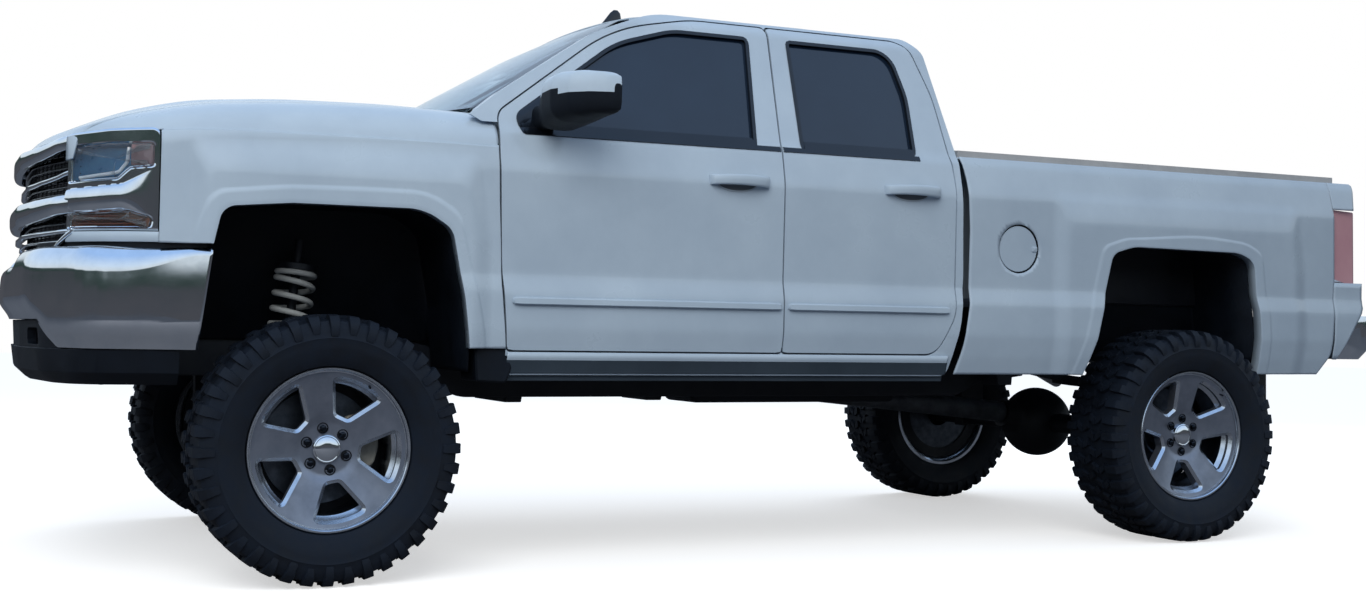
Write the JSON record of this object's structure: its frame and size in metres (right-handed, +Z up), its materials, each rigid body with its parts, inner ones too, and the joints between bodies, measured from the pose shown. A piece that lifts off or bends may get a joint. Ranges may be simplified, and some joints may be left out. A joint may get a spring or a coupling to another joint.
{
  "type": "lifted pickup truck",
  "caption": "Lifted four-door pickup with an extended cab, covered standard bed and off-road tyres; wheels, steering, doors, hood, tailgate and fuel door move.",
  "frame": {"origin": "on the ground, at the middle of the vehicle's length and width", "axes": "+X towards the rear, +Y towards the vehicle's right, +Z up"},
  "size_m": [5.8418, 2.5326, 2.1967],
  "materials": {
    "paint": "gloss white",
    "chrome": "bright",
    "plastic": "matte black",
    "underbody": "satin black",
    "iron": "rough",
    "spring": "pale grey springs",
    "engine": "cast",
    "exhaust": "dull",
    "lining": "grained dark trim",
    "seat": "dark cloth",
    "glass": "clear",
    "tint": "dark tinted",
    "lamp": "clear lens",
    "red_lamp": "red lens",
    "bed": "painted",
    "cover": "black cover",
    "alloy": "polished",
    "tyre": "rubber"
  },
  "bodies": {
    "chassis": {"frame": "underbody", "crossmembers": "underbody", "hitch": "underbody", "wheel_housings": "underbody", "lift_crossmembers": "underbody", "control_arms": "underbody", "struts": "spring", "engine": "engine", "fuel_tank": "plastic", "driveline": "engine", "rear_axle": "underbody", "leaf_springs": "underbody", "exhaust": "exhaust", "cab_sides": "paint", "cab_floor": "lining", "cab_back": "paint", "rear_window": "tint", "roof_panel": "paint", "windshield": "glass", "cowl": "plastic", "antenna": "plastic", "dashboard": "lining", "steering_wheel": "lining", "seats": "seat", "front_fenders": "paint", "front_structure": "underbody", "headlamps": "lamp", "grille": "chrome", "front_bumper": "chrome", "front_valance": "plastic", "bedsides": "paint", "bed_box": "bed", "tail_lamps": "red_lamp", "rear_bumper": "chrome", "tonneau_cover": "cover"},
    "wheel_front_right": {"rim_front_right": "alloy", "tyre_front_right": "tyre"},
    "door_front_right": {"door_front_right": "paint", "glass_front_right": "tint", "mirror_right": "plastic"},
    "wheel_front_left": {"rim_front_left": "alloy", "tyre_front_left": "tyre"},
    "door_front_left": {"door_front_left": "paint", "glass_front_left": "tint", "mirror_left": "plastic"},
    "wheel_rear_right": {"rim_rear_right": "alloy", "tyre_rear_right": "tyre"},
    "door_rear_right": {"door_rear_right": "paint", "glass_rear_right": "tint"},
    "wheel_rear_left": {"rim_rear_left": "alloy", "tyre_rear_left": "tyre"},
    "door_rear_left": {"door_rear_left": "paint", "glass_rear_left": "tint"},
    "steering_knuckle_left": {"knuckle_left": "iron"},
    "steering_knuckle_right": {"knuckle_right": "iron"},
    "steering_rods": {"tie_rods": "underbody"},
    "hood": {"hood": "paint"},
    "tailgate": {"tailgate": "paint"},
    "fuel_door": {"fuel_door": "paint"}
  },
  "joints": [
    {"name": "steer_left", "type": "hinge", "parent": "chassis", "child": "steering_knuckle_left", "pos_m": [-1.9315, -0.752, 0.4445], "axis": [0, 0, 1], "range_deg": [-30, 30]},
    {"name": "steer_right", "type": "hinge", "parent": "chassis", "child": "steering_knuckle_right", "pos_m": [-1.9315, 0.752, 0.4445], "axis": [0, 0, 1], "range_deg": [-30, 30]},
    {"name": "steering_rods_slide", "type": "slide", "parent": "chassis", "child": "steering_rods", "axis": [0, 1, 0], "range_m": [-0.09, 0.09]},
    {"name": "spin_front_left", "type": "hinge", "parent": "steering_knuckle_left", "child": "wheel_front_left", "pos_m": [-1.9315, -0.89, 0.4445], "axis": [0, 1, 0], "continuous": true},
    {"name": "spin_rear_left", "type": "hinge", "parent": "chassis", "child": "wheel_rear_left", "pos_m": [1.7135, -0.89, 0.4445], "axis": [0, 1, 0], "continuous": true},
    {"name": "spin_front_right", "type": "hinge", "parent": "steering_knuckle_right", "child": "wheel_front_right", "pos_m": [-1.9315, 0.89, 0.4445], "axis": [0, 1, 0], "continuous": true},
    {"name": "spin_rear_right", "type": "hinge", "parent": "chassis", "child": "wheel_rear_right", "pos_m": [1.7135, 0.89, 0.4445], "axis": [0, 1, 0], "continuous": true},
    {"name": "open_door_front_left", "type": "hinge", "parent": "chassis", "child": "door_front_left", "pos_m": [-1.3115, -0.992, 1.2], "axis": [0, 0, -1], "range_deg": [0, 65]},
    {"name": "open_door_rear_left", "type": "hinge", "parent": "chassis", "child": "door_rear_left", "pos_m": [-0.1915, -0.992, 1.2], "axis": [0, 0, -1], "range_deg": [0, 68]},
    {"name": "open_door_front_right", "type": "hinge", "parent": "chassis", "child": "door_front_right", "pos_m": [-1.3115, 0.992, 1.2], "axis": [0, 0, 1], "range_deg": [0, 65]},
    {"name": "open_door_rear_right", "type": "hinge", "parent": "chassis", "child": "door_rear_right", "pos_m": [-0.1915, 0.992, 1.2], "axis": [0, 0, 1], "range_deg": [0, 68]},
    {"name": "open_hood", "type": "hinge", "parent": "chassis", "child": "hood", "pos_m": [-1.4515, 0, 1.612], "axis": [0, 1, 0], "range_deg": [0, 50]},
    {"name": "open_tailgate", "type": "hinge", "parent": "chassis", "child": "tailgate", "pos_m": [2.6725, 0, 1.06], "axis": [0, 1, 0], "range_deg": [0, 90]},
    {"name": "open_fuel_door", "type": "hinge", "parent": "chassis", "child": "fuel_door", "pos_m": [0.7325, -1.001, 1.2], "axis": [0, 0, -1], "range_deg": [0, 95]}
  ],
  "couplings": [
    {"joint": "steer_right", "follows": "steer_left", "ratio": 1},
    {"joint": "steering_rods_slide", "follows": "steer_left", "m_per_rad": -0.165}
  ]
}
